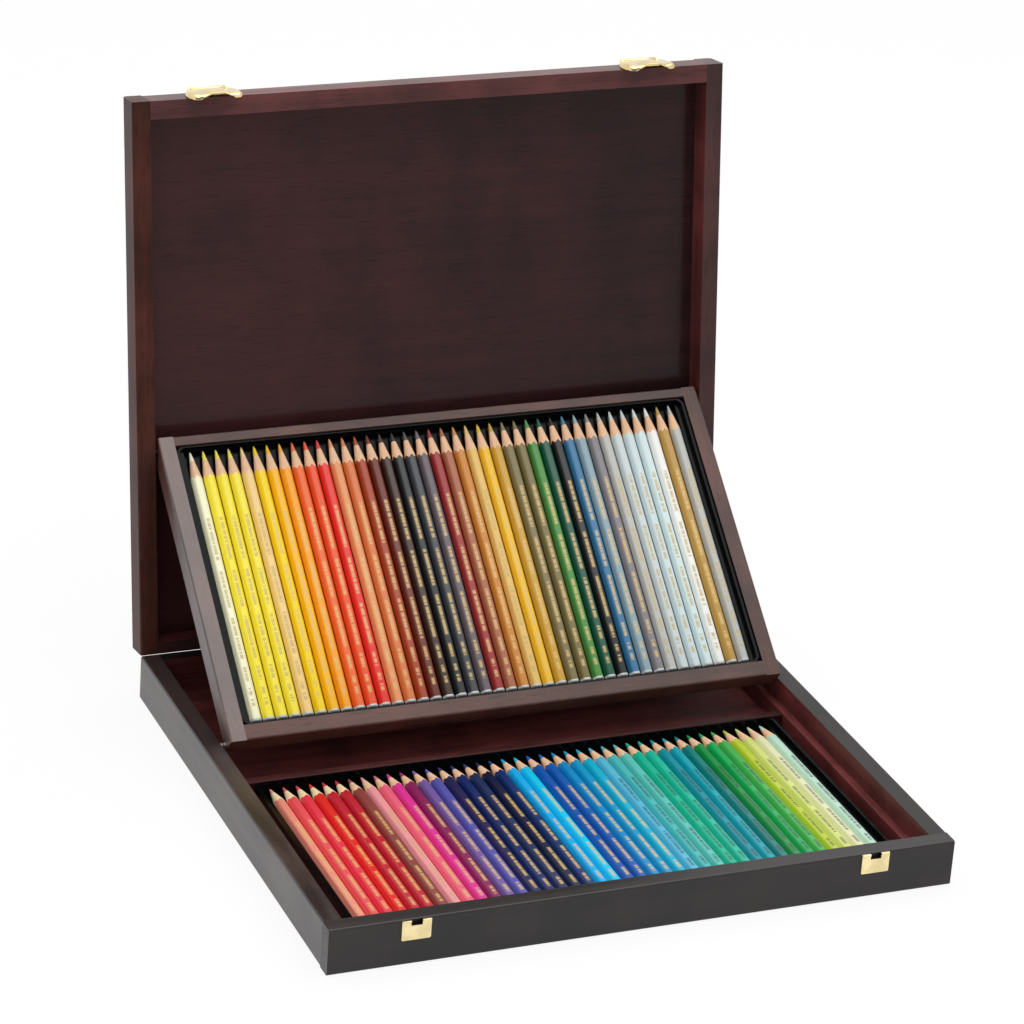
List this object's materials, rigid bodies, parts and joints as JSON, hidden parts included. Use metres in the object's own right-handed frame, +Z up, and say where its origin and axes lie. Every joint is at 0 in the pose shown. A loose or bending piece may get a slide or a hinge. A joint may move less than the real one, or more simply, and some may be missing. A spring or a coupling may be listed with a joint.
{
  "type": "pencil case",
  "caption": "Hinged two-level wooden pencil case shown open: the lid carries a framed tray of hex pencils on pivot pins above a second row in the shallow base; brass lever catches.",
  "frame": {"origin": "Centre of the base's underside, on the table plane, midway between the side walls and midway between the base's front and rear faces.", "axes": "+X to the user's right along the hinge line, +Y from the front wall to the hinge at the rear, +Z up from the table. The case is shown open, lid leaning back."},
  "size_m": [0.375, 0.4056, 0.366],
  "materials": {
    "frame_wood": "dark mahogany stain, satin lacquer",
    "panel_wood": "dark mahogany stain, satin lacquer",
    "black_gloss": "glossy moulded black",
    "pencil_lacquer": "glossy lacquer, one colour per pencil",
    "brass": "polished plate",
    "steel_pin": "plain turned pin"
  },
  "bodies": {
    "base": {"base_divider": "frame_wood", "base_floor": "panel_wood", "base_front_wall": "frame_wood", "base_ledge_left": "frame_wood", "base_ledge_right": "frame_wood", "base_rear_wall": "frame_wood", "base_side_wall_left": "frame_wood", "base_side_wall_right": "frame_wood", "hinge_base_leaf_left": "brass", "hinge_base_leaf_right": "brass", "hinge_pin_left": "brass", "hinge_pin_right": "brass", "keeper_left": "brass", "keeper_right": "brass", "lower_insert": "black_gloss", "lower_pencils_1": "pencil_lacquer", "lower_pencils_2": "pencil_lacquer", "lower_pencils_3": "pencil_lacquer", "lower_pencils_4": "pencil_lacquer", "lower_pencils_5": "pencil_lacquer", "stop_pin_left": "steel_pin", "stop_pin_right": "steel_pin"},
    "lid": {"catch_axle_left": "brass", "catch_axle_right": "brass", "catch_plate_left": "brass", "catch_plate_right": "brass", "hinge_lid_leaf_left": "brass", "hinge_lid_leaf_right": "brass", "lid_front_rail": "frame_wood", "lid_panel": "panel_wood", "lid_rear_rail": "frame_wood", "lid_side_rail_left": "frame_wood", "lid_side_rail_right": "frame_wood"},
    "lever_left": {"catch_lever_left": "brass"},
    "lever_right": {"catch_lever_right": "brass"},
    "tray": {"tray_bottom": "panel_wood", "tray_front_rail": "frame_wood", "tray_pivot_pin_left": "steel_pin", "tray_pivot_pin_right": "steel_pin", "tray_rear_rail": "frame_wood", "tray_side_rail_left": "frame_wood", "tray_side_rail_right": "frame_wood", "upper_insert": "black_gloss", "upper_pencils_1": "pencil_lacquer", "upper_pencils_2": "pencil_lacquer", "upper_pencils_3": "pencil_lacquer", "upper_pencils_4": "pencil_lacquer", "upper_pencils_5": "pencil_lacquer"}
  },
  "joints": [
    {"name": "lid_hinge", "type": "hinge", "parent": "base", "child": "lid", "pos_m": [0, 0.168, 0.0282], "axis": [1, 0, 0], "range_deg": [0, 98.4]},
    {"name": "tray_pivot", "type": "hinge", "parent": "lid", "child": "tray", "pos_m": [0, 0.19061, 0.15122], "axis": [1, 0, 0], "range_deg": [-134.6, 0]},
    {"name": "catch_left", "type": "hinge", "parent": "lid", "child": "lever_left", "pos_m": [-0.1375, 0.23148, 0.3609], "axis": [1, 0, 0], "range_deg": [-80, 0]},
    {"name": "catch_right", "type": "hinge", "parent": "lid", "child": "lever_right", "pos_m": [0.1375, 0.23148, 0.3609], "axis": [1, 0, 0], "range_deg": [-80, 0]}
  ],
  "couplings": [
    {"joint": "tray_pivot", "follows": "lid_hinge", "ratio": -1.3678}
  ]
}
